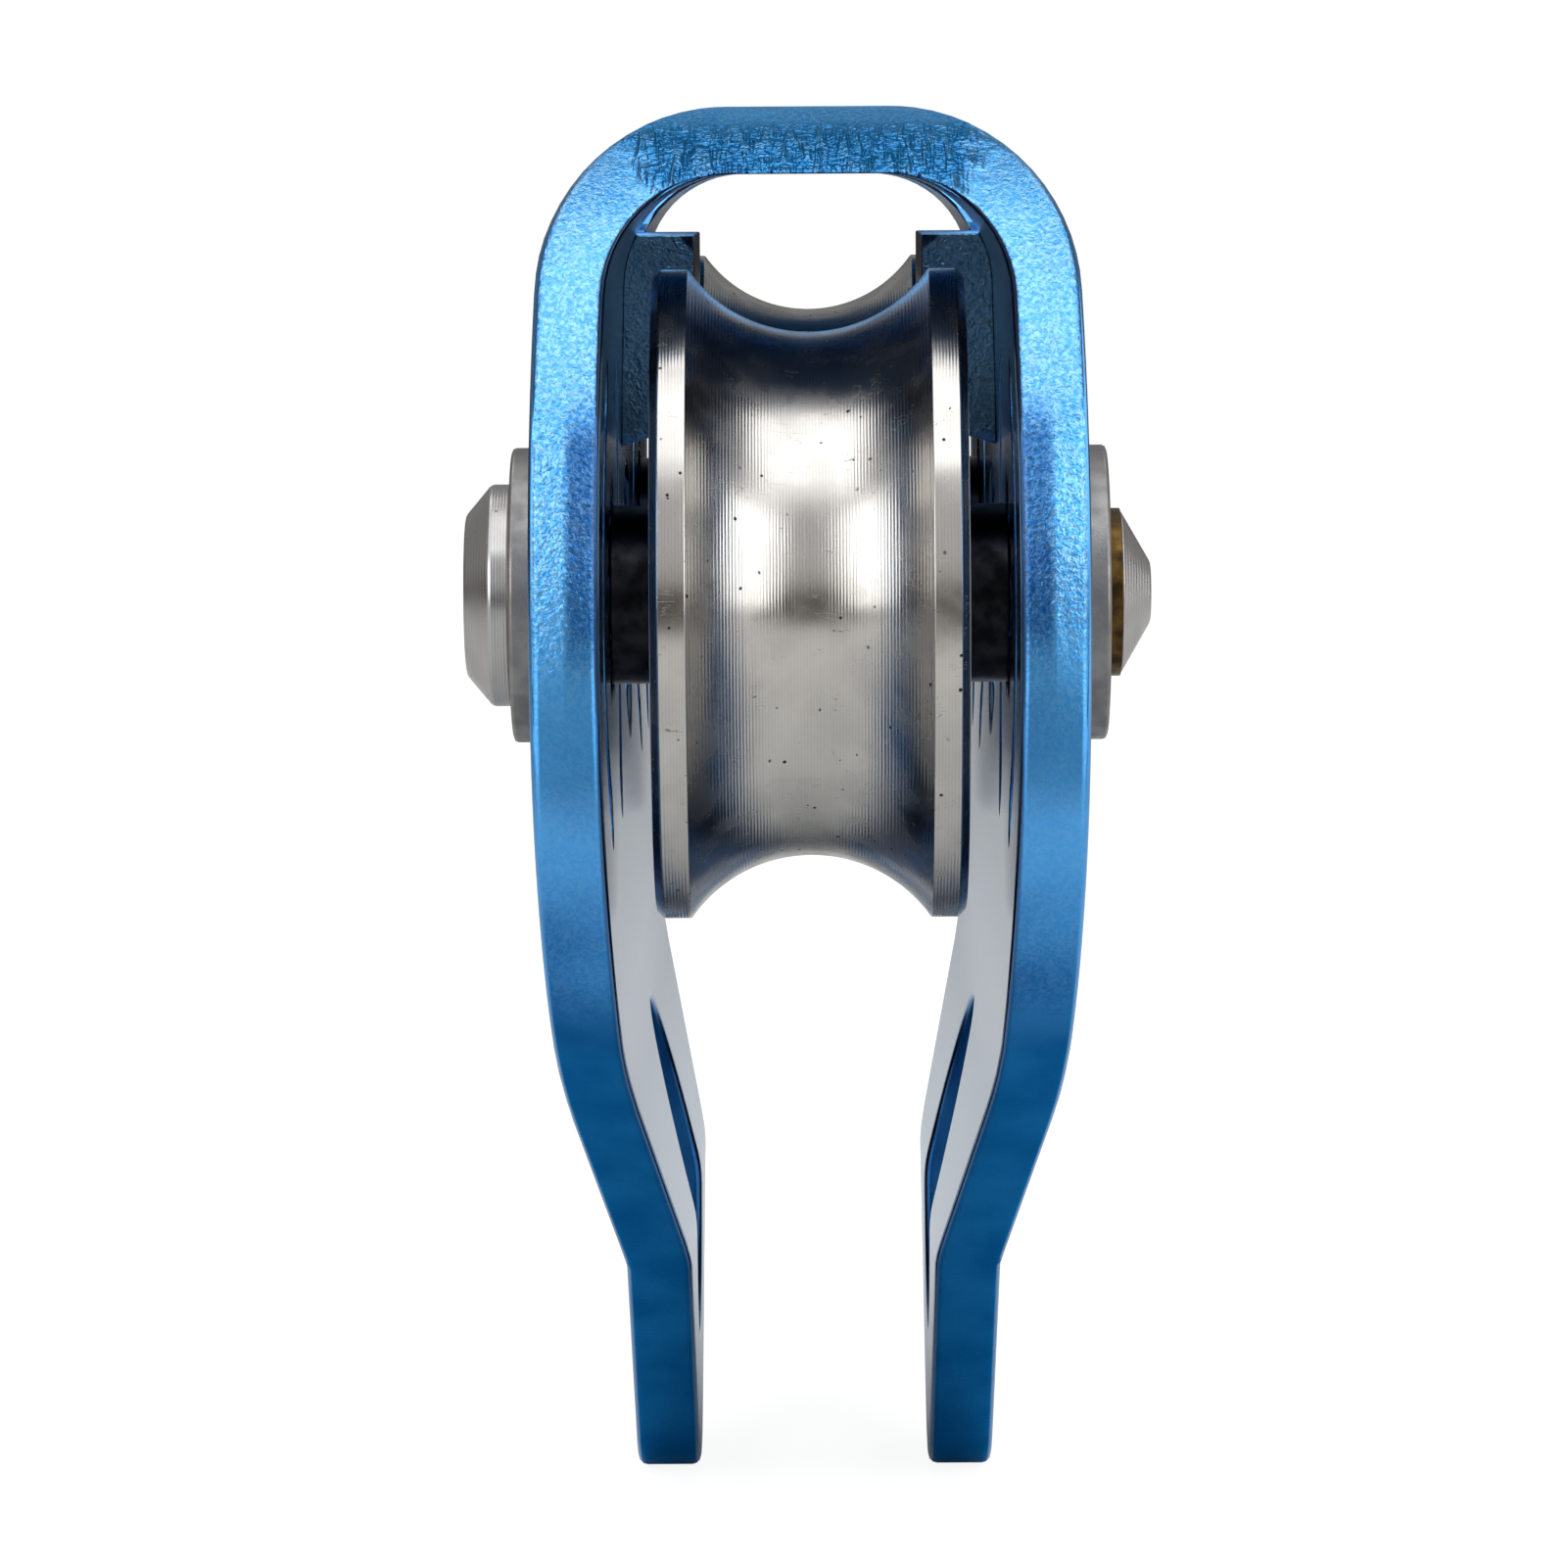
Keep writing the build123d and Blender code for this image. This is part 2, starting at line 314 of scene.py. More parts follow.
@dataclass(frozen=True)
class AnodisedFinish:
    """Blue anodised aluminium, with pressed and grained end faces and smooth walls, and with painted shade
    and painted glints in its colour.

    A Range is where a smooth step starts and ends. Lengths are in millimetres.
    Heights are over the axles.
    """

    axle_height: float
    # Tone runs from deep to bright at random, and painted shade pulls it toward deep. pale is the colour of
    # the painted glints. navy is the inner walls' own colour and painted shade on the low faces.
    deep: Colour = (0.005, 0.080, 0.28)
    bright: Colour = (0.062, 0.35, 0.78)
    pale: Colour = (0.26, 0.52, 0.72)
    navy: Colour = (0.008, 0.055, 0.17)
    edge_tint: Colour = (0.35, 0.70, 1.0)
    rough_end: float = 0.36
    rough_wall: float = 0.20
    rough_coat: float = 0.18
    crown_polish: float = 0.4
    coat_loss: float = 0.5

    cut_facing: Range = (0.75, 0.45)
    end_reach: Range = (24.0, 28.0)
    low_heights: Range = (-20.0, -24.0)
    pressed_heights: Range = (-4.0, 4.0)
    cheek_reach: Range = (13.5, 12.5)
    cheek_heights: Range = (7.0, 9.0)
    cheek_facing: Range = (0.8, 0.4)
    under_facing: Range = (-0.1, -0.6)
    inside_facing: Range = (-3.0, -7.0)
    hollow_top: Range = (13.0, 9.0)
    hollow_foot: Range = (-4.0, 0.0)
    hollow_across: Range = (0.2, -0.5)

    band_centre: tuple[float, float] = (4.8, 17.3)
    band_radius: float = 8.6
    crown_angle: float = 57.0
    crown_fade: float = 9.0
    crown_wander: float = 24.0
    wander_per_mm: float = 0.35
    crown_facing: Range = (0.995, 0.93)

    ridge_outward: float = 0.20
    ridge_inward: float = 0.12
    ridge_crown: float = 0.16
    ridge_top: Range = (13.0, 7.0)
    ridge_foot: Range = (-9.0, 1.0)

    grain_per_mm: float = 2.8
    grain_depth: float = 0.16
    grain_least: float = 0.15
    fine_scale: float = 2.3
    fine_share: float = 0.25
    folds_per_mm: float = 1.7
    fold_stretch: float = 0.15
    fold_depth: float = 0.9
    fold_share: float = 0.6
    creases_per_mm: float = 2.2
    crease_depth: float = 0.35
    crease_bend: float = 0.8
    crease_range: Range = (0.52, 0.60)
    # Painted highlight: the share of pale glint on the crown's creases.
    crease_glint: float = 0.35

    clouds_per_mm: float = 0.16
    cloud_range: Range = (0.3, 0.7)
    cloud_share: float = 0.3
    least_tone: float = 0.65
    # Painted shade: how far the tone is pulled toward deep on the crown, the downward faces and the inner
    # half of the band's sides.
    crown_shade: float = 0.35
    under_shade: float = 0.5
    hollow_shade: float = 0.8
    # Painted highlights: pale glints over the grained end faces, fewer on the crown and the band's inner
    # half, with a least share everywhere.
    glint_scale: float = 1.4
    glint_range: Range = (0.36, 0.66)
    glint_heights: Range = (-8.0, 6.0)
    glint_loss: float = 0.9
    glint_least: float = 0.2
    glint_share: float = 0.6
    # inside_share is the inner walls' own navy. low_share is painted shade, which blends the low faces toward
    # navy.
    inside_share: float = 0.85
    low_share: float = 0.35

    def build(self) -> bpy.types.Material:
        """Make the material.

        Returns:
            The finished material.
        """
        graph = Graph.of_material("anodised_blue")
        x, y, z = graph.position()
        place = graph.vector(x, y, z)
        zones = self._zones(graph, place, x, y, z - self.axle_height)
        stretched = graph.vector(x, y * self.fold_stretch, z * self.fold_stretch)
        folds = graph.noise(stretched, self.folds_per_mm, 1.0, self.crease_bend)
        creases = graph.noise(place, self.creases_per_mm, 1.0, self.crease_bend)
        folded = folds * self.fold_share + creases * (1.0 - self.fold_share)
        pressed = zones.height.between(*self.pressed_heights)
        grain_share = pressed * (1.0 - self.grain_least) + self.grain_least
        relief = self._press_marks(zones) + self._grain(graph, place) * grain_share
        relief = relief + (folds * self.fold_depth + creases * self.crease_depth) * zones.crown
        end_rough = zones.end_face * (self.rough_end - self.rough_wall)
        end_rough = end_rough * (1.0 - zones.crown * self.crown_polish)
        bare = self.coat_loss + zones.arch * self.coat_loss + zones.under * self.coat_loss
        inputs = {
            "Base Color": self._colour(graph, place, zones, folded),
            "Metallic": 1.0,
            "Roughness": self.rough_wall + end_rough,
            "Coat Weight": 1.0 - zones.end_face * bare,
            "Coat Roughness": self.rough_coat,
            "Specular Tint": (*self.edge_tint, 1.0),
            "Normal": graph.bump(relief * zones.end_face),
        }
        return graph.surface(inputs)

    def _zones(self, graph: Graph, place: Signal, x: Signal, y: Signal, height: Signal) -> Zones:
        """Sort a point into the body's zones.

        Args:
            graph: The material's nodes.
            place: The point.
            x: Its coordinate across the pulley.
            y: Its coordinate along the pulley.
            height: Its height.

        Returns:
            The zones.
        """
        sideways, _, upward = graph.facing()
        low = height.between(*self.low_heights)
        cheek = abs(y).between(*self.cheek_reach) * height.between(*self.cheek_heights)
        cheek = cheek * upward.between(*self.cheek_facing)
        cut = abs(sideways).between(*self.cut_facing)
        arch, across = self._band(graph, place, x, height)
        hollow = height.between(*self.hollow_top) * height.between(*self.hollow_foot)
        return Zones(
            height=height,
            across=across,
            end_face=cut * abs(y).between(*self.end_reach).at_least(low).at_least(cheek),
            low=low,
            cheek=cheek,
            arch=arch,
            crown=arch * upward.between(*self.crown_facing),
            hollow=hollow * across.between(*self.hollow_across),
            under=upward.between(*self.under_facing).at_least(low),
            inside=(x * sideways).between(*self.inside_facing),
        )

    def _band(self, graph: Graph, place: Signal, x: Signal, height: Signal) -> tuple[Signal, Signal]:
        """Find where a point lies on the end face's band.

        Args:
            graph: The material's nodes.
            place: The point.
            x: Its coordinate across the pulley.
            height: Its height.

        Returns:
            How far it belongs to the arch's top, and its distance outward from the band's middle.
        """
        along = (abs(x) - self.band_centre[0]).at_least(0.0)
        up = (height - self.band_centre[1]).at_least(0.0)
        radius = (along * along + up * up).maths("SQRT")
        turn = up.maths("ARCTAN2", along) * (180.0 / math.pi)
        turn = turn + (graph.noise(place, self.wander_per_mm, 1.0) - 0.5) * self.crown_wander
        top = turn.between(self.crown_angle - self.crown_fade, self.crown_angle + self.crown_fade)
        return top, radius - self.band_radius

    def _colour(self, graph: Graph, place: Signal, zones: Zones, folded: Signal) -> Signal:
        """Blend the blues, with painted shade and painted glints in them.

        Args:
            graph: The material's nodes.
            place: The point.
            zones: Its zones.
            folded: The crown's folds and creases.

        Returns:
            The base colour, with painted shade and painted highlights.
        """
        cloud = graph.noise(place, self.clouds_per_mm, 3.0).between(*self.cloud_range)
        # Painted shade: the crown, the downward faces and the inner half of the band's sides are pulled
        # toward deep.
        shade = zones.crown * self.crown_shade + zones.under * self.under_shade
        shade = shade + zones.hollow * self.hollow_shade
        tone = cloud * self.cloud_share + self.least_tone - shade * zones.end_face
        colour = graph.blend(tone, self.deep, self.bright)
        # Painted highlights: pale glints from the grain and from the crown's creases.
        glint = graph.noise(place, self.grain_per_mm * self.glint_scale, 2.0, 0.8)
        glint = glint.between(*self.glint_range)
        clear = 1.0 - zones.crown * self.glint_loss - zones.hollow * self.glint_loss
        glint = glint * (zones.height.between(*self.glint_heights) * clear + self.glint_least)
        creased = folded.between(*self.crease_range) * zones.crown
        # The cheek is painted pale: painted light where the arch shades it.
        glint = (glint + zones.cheek + creased * self.crease_glint) * zones.end_face * (1.0 - zones.low)
        colour = graph.blend(glint * self.glint_share, colour, self.pale)
        # The inner walls take their own navy. The low faces get painted shade toward navy.
        dark = zones.inside * self.inside_share + zones.low * (1.0 - zones.inside) * self.low_share
        return graph.blend(dark, colour, self.navy)

    def _press_marks(self, zones: Zones) -> Signal:
        """Lean the end face, since the bending has pulled it.

        Args:
            zones: The point's zones.

        Returns:
            The relief in millimetres.
        """
        across = zones.across
        ridge = across.at_least(0.0) * self.ridge_outward + (across * -1.0).at_least(0.0) * self.ridge_inward
        side = zones.height.between(*self.ridge_top) * zones.height.between(*self.ridge_foot)
        return (side * ridge + zones.crown * across * self.ridge_crown) * -1.0

    def _grain(self, graph: Graph, place: Signal) -> Signal:
        """Grain the surface as blasting does.

        Args:
            graph: The material's nodes.
            place: The point.

        Returns:
            The relief in millimetres.
        """
        coarse = graph.noise(place, self.grain_per_mm, 2.0, 0.6)
        fine = graph.noise(place, self.grain_per_mm * self.fine_scale, 1.0, 0.3)
        return (coarse * (1.0 - self.fine_share) + fine * self.fine_share) * self.grain_depth


@dataclass(frozen=True)
class TurnedFinish:
    """Turned steel: fine lines round the axle, dark specks and a few scratches."""

    name: str
    light: Colour = (0.51, 0.495, 0.47)
    dark: Colour = (0.33, 0.32, 0.30)
    pit: Colour = (0.03, 0.03, 0.03)
    lines_per_mm: float = 5.5
    line_depth: float = 0.007
    line_swing: float = 0.35
    line_tone: Range = (0.25, 0.75)
    line_share: float = 0.2
    drift: float = 1.5
    drift_per_mm: float = 0.5
    fine_stretch: float = 0.02
    fine_range: Range = (0.3, 0.7)
    fine_share: float = 0.3
    clouds_per_mm: float = 0.35
    cloud_range: Range = (0.35, 0.7)
    cloud_share: float = 0.25
    cloud_rough: float = 0.10
    roughness: float = 0.20
    mark_rough: float = 0.3
    mark_depth: float = 0.004
    speck_amount: float = 1.0
    specks_per_mm: float = 1.1
    speck_size: Range = (0.16, 0.09)
    speck_kept: Range = (0.52, 0.60)
    speck_patches_per_mm: float = 0.9
    scratches_per_mm: float = 0.9
    scratch_bend: float = 1.5
    scratch_stretch: tuple[float, float] = (0.35, 1.6)
    scratch_patches_per_mm: float = 0.55
    scratch_share: float = 0.6
    scratch_width: Range = (0.006, 0.001)
    scratch_kept: Range = (0.60, 0.66)

    def build(self) -> bpy.types.Material:
        """Make the material.

        Returns:
            The finished material.
        """
        graph = Graph.of_material(self.name)
        x, y, z = graph.position()
        place = graph.vector(x, y, z)
        drift = graph.noise(place, self.drift_per_mm, 1.0) * self.drift
        turn = x * (math.tau * self.lines_per_mm) + drift
        lines = turn.maths("SINE") * self.line_swing + self.line_swing
        stretched = graph.vector(x, y * self.fine_stretch, z * self.fine_stretch)
        fine = graph.noise(stretched, self.lines_per_mm, 2.0).between(*self.fine_range)
        lines = lines + fine * self.fine_share
        marks = self._specks(graph, place) + self._scratches(graph, x, y, z) * self.scratch_share
        marks = marks.maths("MINIMUM", 1.0) * self.speck_amount
        cloud = graph.noise(place, self.clouds_per_mm, 3.0).between(*self.cloud_range)
        tone = cloud * self.cloud_share + lines.between(*self.line_tone) * self.line_share
        inputs = {
            "Base Color": graph.blend(marks, graph.blend(tone, self.light, self.dark), self.pit),
            "Metallic": 1.0,
            "Roughness": self.roughness + cloud * self.cloud_rough + marks * self.mark_rough,
            "Normal": graph.bump(lines * self.line_depth - marks * self.mark_depth),
        }
        return graph.surface(inputs)

    def _specks(self, graph: Graph, place: Signal) -> Signal:
        """Scatter dark pits.

        Args:
            graph: The material's nodes.
            place: The point.

        Returns:
            1 in a pit and 0 elsewhere.
        """
        near = graph.cells(place, self.specks_per_mm).between(*self.speck_size)
        kept = graph.noise(place, self.speck_patches_per_mm, 1.0).between(*self.speck_kept)
        return near * kept

    def _scratches(self, graph: Graph, x: Signal, y: Signal, z: Signal) -> Signal:
        """Draw short marks across the turning lines.

        Args:
            graph: The material's nodes.
            x: The point's coordinate across the pulley.
            y: Its coordinate along the pulley.
            z: Its coordinate upward.

        Returns:
            1 in a scratch and 0 elsewhere.
        """
        place = graph.vector(x * self.scratch_stretch[0], y, z * self.scratch_stretch[1])
        trails = graph.noise(place, self.scratches_per_mm, 1.0, self.scratch_bend)
        thin = abs(trails - 0.5).between(*self.scratch_width)
        patches = graph.noise(graph.vector(x, y, z), self.scratch_patches_per_mm, 1.0)
        return thin * patches.between(*self.scratch_kept)


@dataclass(frozen=True)
class PlainFinish:
    """A material with a little cloud in its colour and roughness."""

    name: str
    light: Colour
    dark: Colour
    roughness: float
    metallic: float = 1.0
    clouds_per_mm: float = 0.8
    cloud_range: Range = (0.3, 0.7)
    cloud_rough: float = 0.12
    grain_per_mm: float = 6.0
    grain_depth: float = 0.01

    def build(self) -> bpy.types.Material:
        """Make the material.

        Returns:
            The finished material.
        """
        graph = Graph.of_material(self.name)
        place = graph.vector(*graph.position())
        cloud = graph.noise(place, self.clouds_per_mm, 4.0).between(*self.cloud_range)
        grain = graph.noise(place, self.grain_per_mm, 2.0)
        inputs = {
            "Base Color": graph.blend(cloud, self.light, self.dark),
            "Metallic": self.metallic,
            "Roughness": self.roughness + cloud * self.cloud_rough,
            "Normal": graph.bump(grain * self.grain_depth),
        }
        return graph.surface(inputs)


TURNED = {
    "sheave_steel": TurnedFinish("turned_wheel"),
    "axle_steel": TurnedFinish(
        "turned_pin", light=(0.44, 0.43, 0.42), dark=(0.28, 0.27, 0.26),
        lines_per_mm=6.0, line_depth=0.008, roughness=0.28, speck_amount=0.5,
    ),
}
PLAIN = {
    "washer_steel": PlainFinish("washer", (0.27, 0.262, 0.25), (0.21, 0.20, 0.19), roughness=0.38),
    "black_spacer": PlainFinish("black_oxide", (0.030, 0.030, 0.034), (0.012, 0.012, 0.014), roughness=0.30),
    "golden_collar": PlainFinish("golden", (0.15, 0.085, 0.025), (0.03, 0.02, 0.01), roughness=0.36),
    "bearing_steel": PlainFinish("ground_steel", (0.66, 0.66, 0.66), (0.55, 0.55, 0.55), roughness=0.15),
    "shield_steel": PlainFinish("pressed_steel", (0.56, 0.56, 0.56), (0.44, 0.44, 0.44), roughness=0.30),
    "cage_polymer": PlainFinish("cage", (0.62, 0.55, 0.40), (0.52, 0.46, 0.33), roughness=0.5, metallic=0.0),
}


class Finishes:
    """Every material of the pulley, by the record's slot."""

    def __init__(self, axle_height: float) -> None:
        """Build the materials.

        Args:
            axle_height: The height of the axles in millimetres.
        """
        self.by_slot = {"anodised_body": AnodisedFinish(axle_height).build()}
        for slot, finish in {**TURNED, **PLAIN}.items():
            self.by_slot[slot] = finish.build()
        self.slots = {entry["node"]: entry["material_slot"] for entry in frame["record"]["subparts"]}

    def dress_node(self, node: str) -> None:
        """Give a CAD node the material of its slot.

        Args:
            node: The node, which keeps its solid.
        """
        shown = frame["nodes"][node]
        shown.data.materials.clear()
        shown.data.materials.append(self.by_slot[self.slots[node]])

    def dress_piece(self, piece: bpy.types.Object, node: str, body: str) -> None:
        """Let a new piece stand for a CAD node.

        Args:
            piece: The new piece.
            node: The node that it replaces.
            body: The body that it rides on.
        """
        slot = self.slots[node]
        piece.data.materials.append(self.by_slot[slot])
        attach(piece, body)
        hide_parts(node)
        log.info("%s stands for %s on %s", piece.name, node, body)


def add_modifier(piece: bpy.types.Object, kind: str, **settings: Any) -> None:
    """Add a modifier to a piece.

    Args:
        piece: The object.
        kind: The modifier's type.
        settings: Its properties.
    """
    modifier = piece.modifiers.new(kind.lower(), kind)
    for key, value in settings.items():
        setattr(modifier, key, value)


def mesh_piece(shape: bmesh.types.BMesh, name: str) -> bpy.types.Object:
    """Turn a finished shape into a smooth-shaded object.

    Args:
        shape: The shape, which is used up.
        name: The new object's name.

    Returns:
        The object.
    """
    mesh = bpy.data.meshes.new(name)
    shape.to_mesh(mesh)
    shape.free()
    mesh.shade_smooth()
    piece = bpy.data.objects.new(name, mesh)
    bpy.context.collection.objects.link(piece)
    return piece


def node_box(node: str) -> tuple[Vector, Vector]:
    """A CAD node's lowest and highest corners in millimetres."""
    low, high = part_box(node)
    return Vector(low) * PER_MM, Vector(high) * PER_MM


@dataclass
class Turning:
    """A piece turned about an axle, from its outline of (x, radius) points in millimetres."""

    name: str
    centre: Vector
    outline: list[tuple[float, float]]
    closed: bool
    edge_break: float
    break_segments: int = 2
    break_angle: float = 24.0

    def build(self) -> bpy.types.Object:
        """Spin the outline round the axle.

        Returns:
            The finished piece, with broken edges.
        """
        shape = bmesh.new()
        spots = [(x * MM, 0.0, radius * MM) for x, radius in self.outline]
        points = [shape.verts.new(spot) for spot in spots]
        pairs = list(zip(points, points[1:]))
        if self.closed:
            pairs.append((points[-1], points[0]))
        edges = [shape.edges.new(pair) for pair in pairs]
        bmesh.ops.spin(
            shape, geom=points + edges, cent=(0, 0, 0), axis=AXIS,
            angle=math.tau, steps=SPIN_STEPS, use_merge=True,
        )
        bmesh.ops.remove_doubles(shape, verts=shape.verts, dist=WELD_DISTANCE)
        bmesh.ops.recalc_face_normals(shape, faces=shape.faces)
        bmesh.ops.translate(shape, verts=shape.verts, vec=self.centre * MM)
        piece = mesh_piece(shape, self.name)
        add_modifier(
            piece, "BEVEL", width=self.edge_break * MM, segments=self.break_segments, limit_method="ANGLE",
            angle_limit=math.radians(self.break_angle), harden_normals=True,
        )
        return piece


def arc(
    centre: tuple[float, float], radius: float, start: float, end: float, steps: int
) -> list[tuple[float, float]]:
    """Points along an arc in the (x, radius) plane.

    Args:
        centre: The arc's centre.
        radius: Its radius.
        start: The angle of its first point in degrees, from the x direction.
        end: The angle of its last point.
        steps: How many spans it has.

    Returns:
        One point more than it has spans.
    """
    angles = [math.radians(start + (end - start) * step / steps) for step in range(steps + 1)]
    return [(centre[0] + radius * math.cos(a), centre[1] + radius * math.sin(a)) for a in angles]


@dataclass
class Body:
    """The one-piece body, with its edges broken."""

    axle_place: tuple[float, float]
    edge_break: float = 0.55
    small_share: float = 0.2
    window_reach: float = 18.2
    cheek_half: tuple[float, float] = (11.5, 12.9)
    cheek_rise: float = 6.0
    segments: int = 3
    flat_angle: float = 0.4
    sharp_angle: float = 28.0

    def build(self, finishes: Finishes) -> None:
        """Join the solid's facets, round its edges and let it stand for its node.

        Args:
            finishes: The materials.
        """
        node = frame["nodes"]["body"]
        shape = bmesh.new()
        shape.from_mesh(node.data)
        shape.transform(node.matrix_world)
        bmesh.ops.remove_doubles(shape, verts=shape.verts, dist=WELD_DISTANCE)
        flat = math.radians(self.flat_angle)
        bmesh.ops.dissolve_limit(shape, angle_limit=flat, verts=shape.verts, edges=shape.edges)
        bmesh.ops.recalc_face_normals(shape, faces=shape.faces)
        shares = shape.edges.layers.float.new("bevel_weight_edge")
        for edge in shape.edges:
            if edge.calc_face_angle(0.0) > math.radians(self.sharp_angle):
                edge[shares] = self._share((edge.verts[0].co + edge.verts[1].co) * (PER_MM / 2))
        piece = mesh_piece(shape, "rounded_body")
        add_modifier(
            piece, "BEVEL", width=self.edge_break * MM, segments=self.segments, limit_method="WEIGHT",
            loop_slide=False, use_clamp_overlap=False,
        )
        add_modifier(piece, "WEIGHTED_NORMAL", keep_sharp=True)
        finishes.dress_piece(piece, "body", "frame")

    def _share(self, place: Vector) -> float:
        """Find how much of the full rounding an edge gets: less at the windows, the bores and the cheeks.

        Args:
            place: The edge's middle in millimetres.

        Returns:
            Its share, up to 1.
        """
        from_axle = math.hypot(abs(place.y) - self.axle_place[0], place.z - self.axle_place[1])
        across, along = self.cheek_half
        above = place.z > self.axle_place[1] + self.cheek_rise
        cheek = above and abs(place.x) < across and abs(place.y) < along
        return self.small_share if cheek or from_axle < self.window_reach else 1.0


@dataclass
class Sheave:
    """A grooved wheel with its bore."""

    end: End
    groove_depth: float = 3.6
    flange_flat: float = 2.0
    chamfer: float = 0.45
    bore_r: float = 11.0
    rib_half: float = 1.4
    rib_r: float = 9.6
    groove_steps: int = 40
    edge_break: float = 0.08

    def build(self, finishes: Finishes) -> None:
        """Turn the wheel and let it stand for its node.

        Args:
            finishes: The materials.
        """
        node = f"{self.end.value}_sheave"
        low, high = node_box(node)
        half = (high.x - low.x) / 2
        rim = (high.z - low.z) / 2
        mouth = half - self.flange_flat
        radius = (mouth**2 + self.groove_depth**2) / (2 * self.groove_depth)
        centre_r = rim - self.groove_depth + radius
        spread = math.degrees(math.asin(mouth / radius))
        groove = arc((0.0, centre_r), radius, -90 - spread, -90 + spread, self.groove_steps)
        outline = [(-half, self.bore_r), (-half, rim - self.chamfer), (-half + self.chamfer, rim)]
        outline += groove
        outline += [(half - self.chamfer, rim), (half, rim - self.chamfer), (half, self.bore_r)]
        outline += [(self.rib_half, self.bore_r), (self.rib_half, self.rib_r)]
        outline += [(-self.rib_half, self.rib_r), (-self.rib_half, self.bore_r)]
        turning = Turning(f"{self.end.value}_wheel", (low + high) / 2, outline, True, self.edge_break)
        finishes.dress_piece(turning.build(), node, node)


@dataclass
class AxleSet:
    """An axle and the plain turned pieces on it."""

    end: End
    pin_r: float = 4.0
    head_rim: float = 1.2
    head_end_r: float = 4.6
    closed_end_taper: float = 1.75
    closed_end_r: float = 4.75
    tip_r: float = 1.7
    pin_break: float = 0.18
    collar_break: float = 0.06
    washer_break: float = 0.25
    spacer_break: float = 0.15

    def build(self, finishes: Finishes) -> None:
        """Turn the pieces and let them stand for their nodes.

        Args:
            finishes: The materials.
        """
        self._axle(finishes)
        self._ring(finishes, "collar", self.collar_break)
        for side in Side:
            name = side.name.lower()
            self._ring(finishes, f"{name}_washer", self.washer_break)
            self._ring(finishes, f"{name}_spacer", self.spacer_break)

    @staticmethod
    def _centre(low: Vector, high: Vector) -> Vector:
        """The point of a box's middle that lies in the pulley's middle plane."""
        return Vector((0.0, (low.y + high.y) / 2, (low.z + high.z) / 2))

    def _axle(self, finishes: Finishes) -> None:
        """Turn the pin with its head on the left and its closed end on the right.

        Args:
            finishes: The materials.
        """
        node = f"{self.end.value}_axle"
        low, high = node_box(node)
        head_r = (high.z - low.z) / 2
        head_x = node_box(f"{self.end.value}_left_washer")[0].x
        taper_x = high.x - self.closed_end_taper
        outline = [(low.x, 0.0), (low.x, self.head_end_r), (head_x - self.head_rim, head_r), (head_x, head_r)]
        outline += [(head_x, self.pin_r), (taper_x, self.pin_r), (taper_x, self.closed_end_r)]
        outline += [(high.x, self.tip_r), (high.x, 0.0)]
        turning = Turning(f"{self.end.value}_pin", self._centre(low, high), outline, False, self.pin_break)
        finishes.dress_piece(turning.build(), node, "frame")

    def _ring(self, finishes: Finishes, part: str, edge_break: float) -> None:
        """Turn a plain ring that fits round the pin.

        Args:
            finishes: The materials.
            part: The ring's name without the wheel's.
            edge_break: How far its edges are broken, in millimetres.
        """
        node = f"{self.end.value}_{part}"
        low, high = node_box(node)
        outer = (high.z - low.z) / 2
        outline = [(low.x, self.pin_r), (low.x, outer), (high.x, outer), (high.x, self.pin_r)]
        turning = Turning(f"{node}_ring", self._centre(low, high), outline, True, edge_break)
        finishes.dress_piece(turning.build(), node, "frame")


@dataclass
class BearingPair:
    """The two ball bearings inside a sheave."""

    end: End

    def dress(self, finishes: Finishes) -> None:
        """Give the bearings' pieces their finishes.

        Args:
            finishes: The materials.
        """
        for node in frame["nodes"]:
            if node.startswith(self.end.value) and "bearing" in node:
                finishes.dress_node(node)
        log.info("%s bearings dressed", self.end.value)


@dataclass
class Softbox:
    """One white area lamp that faces the pulley, with its angles in degrees and its lengths in metres."""

    name: str
    azimuth: float
    elevation: float
    distance: float
    size: tuple[float, float]
    radiance: float


@dataclass
class Viewpoint:
    """The photograph's camera: a long lens close to level, a little above the wheels."""

    place: tuple[float, float, float] = (0.0, -442.7, 62.2)
    sensor: float = 36.0
    lens: float = 162.6
    reach: float = 20.0
    look_down: float = 4.93
    yaw: float = 0.218
    roll: float = -0.35

    def build(self) -> None:
        """Set the camera up and make it the scene's own."""
        optics = bpy.data.cameras.new("camera")
        optics.sensor_width = self.sensor
        optics.lens = self.lens
        optics.clip_end = self.reach
        camera = bpy.data.objects.new("camera", optics)
        camera.location = Vector(self.place) * MM
        aim = Euler((math.radians(90.0 - self.look_down), 0.0, math.radians(self.yaw)), "XYZ")
        roll = Matrix.Rotation(math.radians(self.roll), 3, "Z")
        camera.rotation_euler = (aim.to_matrix() @ roll).to_euler()
        bpy.context.collection.objects.link(camera)
        bpy.context.scene.camera = camera


